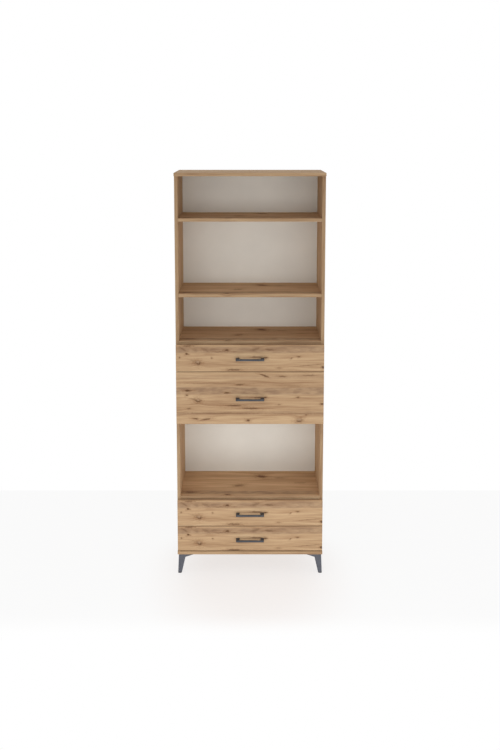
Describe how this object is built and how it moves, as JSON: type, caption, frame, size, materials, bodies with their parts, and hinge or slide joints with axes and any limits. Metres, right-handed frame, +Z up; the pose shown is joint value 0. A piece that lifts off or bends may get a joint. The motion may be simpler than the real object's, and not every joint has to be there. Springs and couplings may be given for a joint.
{
  "type": "bookcase with drawers",
  "caption": "Tall open bookcase of knotty oak-look boards with shelves, an open niche and full-width drawers with dark bar handles, on angular steel legs.",
  "frame": {"origin": "on the floor, under the middle of the bookcase's overall box, handles included", "axes": "+Z up, -Y towards the front where the drawers open, +X to the right seen from the front"},
  "size_m": [0.75, 0.381, 2.076],
  "materials": {
    "oak_board": "matt knotty oak-look melamine",
    "oak_front": "matt knotty oak-look melamine",
    "back_sheet": "pale greige coated hardboard",
    "drawer_board": "pale greige melamine",
    "drawer_bottom": "pale greige coated hardboard",
    "leg_steel": "anthracite powder coat",
    "handle_metal": "dark anthracite satin coat",
    "slide_steel": "zinc-plated steel",
    "fastener_steel": "zinc-plated steel",
    "bracket_steel": "zinc-plated steel",
    "glide_plastic": "black plastic"
  },
  "bodies": {
    "carcass": {"top_panel": "oak_board", "bottom_panel": "oak_board", "left_side_panel": "oak_board", "right_side_panel": "oak_board", "upper_shelf": "oak_board", "lower_shelf": "oak_board", "drawer_deck": "oak_board", "niche_ceiling": "oak_board", "niche_floor": "oak_board", "upper_back_panel": "back_sheet", "lower_back_panel": "back_sheet", "leg_front_left": "leg_steel", "leg_front_right": "leg_steel", "leg_rear_left": "leg_steel", "leg_rear_right": "leg_steel", "foot_glides": "glide_plastic", "shelf_pins": "fastener_steel", "wall_brackets": "bracket_steel", "drawer_1_rails": "slide_steel", "drawer_2_rails": "slide_steel", "drawer_3_rails": "slide_steel", "drawer_4_rails": "slide_steel"},
    "drawer_1": {"drawer_1_front": "oak_front", "drawer_1_left_side": "drawer_board", "drawer_1_right_side": "drawer_board", "drawer_1_back": "drawer_board", "drawer_1_bottom": "drawer_bottom", "drawer_1_handle": "handle_metal", "drawer_1_runners": "slide_steel"},
    "slide_1": {"drawer_1_middle_slides": "slide_steel"},
    "drawer_2": {"drawer_2_front": "oak_front", "drawer_2_left_side": "drawer_board", "drawer_2_right_side": "drawer_board", "drawer_2_back": "drawer_board", "drawer_2_bottom": "drawer_bottom", "drawer_2_handle": "handle_metal", "drawer_2_runners": "slide_steel"},
    "slide_2": {"drawer_2_middle_slides": "slide_steel"},
    "drawer_3": {"drawer_3_front": "oak_front", "drawer_3_left_side": "drawer_board", "drawer_3_right_side": "drawer_board", "drawer_3_back": "drawer_board", "drawer_3_bottom": "drawer_bottom", "drawer_3_handle": "handle_metal", "drawer_3_runners": "slide_steel"},
    "slide_3": {"drawer_3_middle_slides": "slide_steel"},
    "drawer_4": {"drawer_4_front": "oak_front", "drawer_4_left_side": "drawer_board", "drawer_4_right_side": "drawer_board", "drawer_4_back": "drawer_board", "drawer_4_bottom": "drawer_bottom", "drawer_4_handle": "handle_metal", "drawer_4_runners": "slide_steel"},
    "slide_4": {"drawer_4_middle_slides": "slide_steel"}
  },
  "joints": [
    {"name": "drawer_1_slide", "type": "slide", "parent": "carcass", "child": "drawer_1", "axis": [0, -1, 0], "range_m": [0, 0.28]},
    {"name": "drawer_1_middle_slide", "type": "slide", "parent": "carcass", "child": "slide_1", "axis": [0, -1, 0], "range_m": [0, 0.14]},
    {"name": "drawer_2_slide", "type": "slide", "parent": "carcass", "child": "drawer_2", "axis": [0, -1, 0], "range_m": [0, 0.28]},
    {"name": "drawer_2_middle_slide", "type": "slide", "parent": "carcass", "child": "slide_2", "axis": [0, -1, 0], "range_m": [0, 0.14]},
    {"name": "drawer_3_slide", "type": "slide", "parent": "carcass", "child": "drawer_3", "axis": [0, -1, 0], "range_m": [0, 0.28]},
    {"name": "drawer_3_middle_slide", "type": "slide", "parent": "carcass", "child": "slide_3", "axis": [0, -1, 0], "range_m": [0, 0.14]},
    {"name": "drawer_4_slide", "type": "slide", "parent": "carcass", "child": "drawer_4", "axis": [0, -1, 0], "range_m": [0, 0.28]},
    {"name": "drawer_4_middle_slide", "type": "slide", "parent": "carcass", "child": "slide_4", "axis": [0, -1, 0], "range_m": [0, 0.14]}
  ],
  "couplings": [
    {"joint": "drawer_1_middle_slide", "follows": "drawer_1_slide", "ratio": 0.5},
    {"joint": "drawer_2_middle_slide", "follows": "drawer_2_slide", "ratio": 0.5},
    {"joint": "drawer_3_middle_slide", "follows": "drawer_3_slide", "ratio": 0.5},
    {"joint": "drawer_4_middle_slide", "follows": "drawer_4_slide", "ratio": 0.5}
  ]
}
